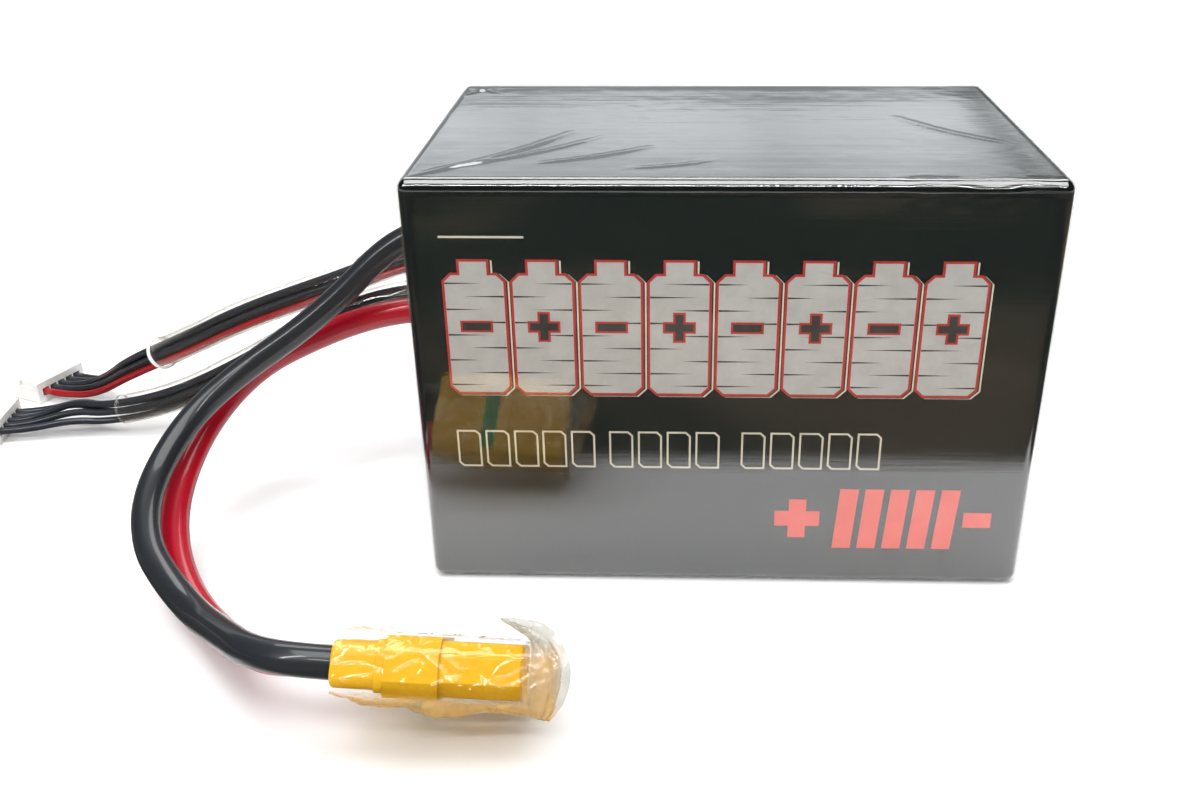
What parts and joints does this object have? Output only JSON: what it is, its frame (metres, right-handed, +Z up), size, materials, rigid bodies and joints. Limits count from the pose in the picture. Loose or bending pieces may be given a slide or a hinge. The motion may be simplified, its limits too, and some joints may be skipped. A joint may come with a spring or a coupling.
{
  "type": "lithium polymer battery pack",
  "caption": "Block-shaped rechargeable battery pack in black wrap and clear film, with two thick leads to a leaning power connector and two balance leads ending in small plugs.",
  "frame": {"origin": "middle of the pack's base, measured without the leads and what is on them", "axes": "+X along the pack's length, away from the leads; -Y faces out of the printed front; +Z up"},
  "size_m": [0.2465, 0.1462, 0.084],
  "materials": {
    "pouch_foil": "satin laminated foil",
    "tab_aluminium": "bare",
    "tab_nickel": "nickel plated copper",
    "tape": "matt double-sided tape",
    "circuit_board": "glass-epoxy board",
    "insulating_paper": "grey insulating paper",
    "copper": "rolled copper",
    "solder": "bright solder",
    "foam": "closed-cell foam",
    "fibre_tape": "glass fibre tape",
    "black_wrap": "gloss heat-shrink",
    "printed_label": null,
    "clear_film": "clear gloss shrink film",
    "connector_film": "clear crinkled film",
    "clear_sleeve": "clear soft sleeve",
    "black_silicone": "gloss silicone",
    "red_silicone": "gloss silicone",
    "red_wire": "gloss silicone",
    "black_wire": "gloss silicone",
    "white_ring": "gloss",
    "yellow_nylon": "gloss nylon",
    "green_nylon": "gloss nylon",
    "gold_plated_brass": "gold plated",
    "resistor_ceramic": "painted",
    "white_nylon": "satin nylon",
    "tin_plated_contacts": "tin plated"
  },
  "bodies": {
    "pack": {"anti_spark_inlays": "green_nylon", "anti_spark_insulator": "green_nylon", "back_label": "printed_label", "back_stiffener": "circuit_board", "balance_board": "circuit_board", "black_lead": "black_silicone", "bottom_pad": "foam", "busbar_insulator": "insulating_paper", "cell_1": "pouch_foil", "cell_2": "pouch_foil", "cell_3": "pouch_foil", "cell_4": "pouch_foil", "cell_5": "pouch_foil", "cell_6": "pouch_foil", "cell_7": "pouch_foil", "cell_8": "pouch_foil", "cell_tabs_negative": "tab_nickel", "cell_tabs_positive": "tab_aluminium", "cell_tapes": "tape", "clear_overwrap": "clear_film", "connector_cap": "yellow_nylon", "connector_housing": "yellow_nylon", "fibre_bands": "fibre_tape", "front_label": "printed_label", "front_stiffener": "circuit_board", "lead_end_board": "circuit_board", "lead_solder_fills": "solder", "lower_balance_sleeve": "clear_sleeve", "lower_balance_wire_1": "black_wire", "lower_balance_wire_2": "black_wire", "lower_balance_wire_3": "black_wire", "lower_balance_wire_4": "black_wire", "lower_balance_wire_5": "black_wire", "lower_plug_contacts": "tin_plated_contacts", "lower_plug_housing": "white_nylon", "negative_busbar": "copper", "negative_contact": "gold_plated_brass", "positive_busbar": "copper", "positive_contact": "gold_plated_brass", "pre_charge_resistor": "resistor_ceramic", "pre_charge_ring": "gold_plated_brass", "rear_end_board": "circuit_board", "rear_foam": "foam", "red_lead": "red_silicone", "series_links": "copper", "shrink_wrap": "black_wrap", "solder_joints": "solder", "tab_board": "circuit_board", "top_pad": "foam", "upper_balance_sleeve": "clear_sleeve", "upper_balance_wire_1": "red_wire", "upper_balance_wire_2": "black_wire", "upper_balance_wire_3": "black_wire", "upper_balance_wire_4": "black_wire", "upper_balance_wire_5": "black_wire", "upper_plug_contacts": "tin_plated_contacts", "upper_plug_housing": "white_nylon", "upper_sleeve_ring": "white_ring"},
    "connector_sleeve": {"connector_film_sleeve": "connector_film"}
  },
  "joints": [
    {"name": "connector_sleeve_pull", "type": "slide", "parent": "pack", "child": "connector_sleeve", "axis": [0.9963, 0.0348, -0.0785], "range_m": [0, 0.034]}
  ]
}
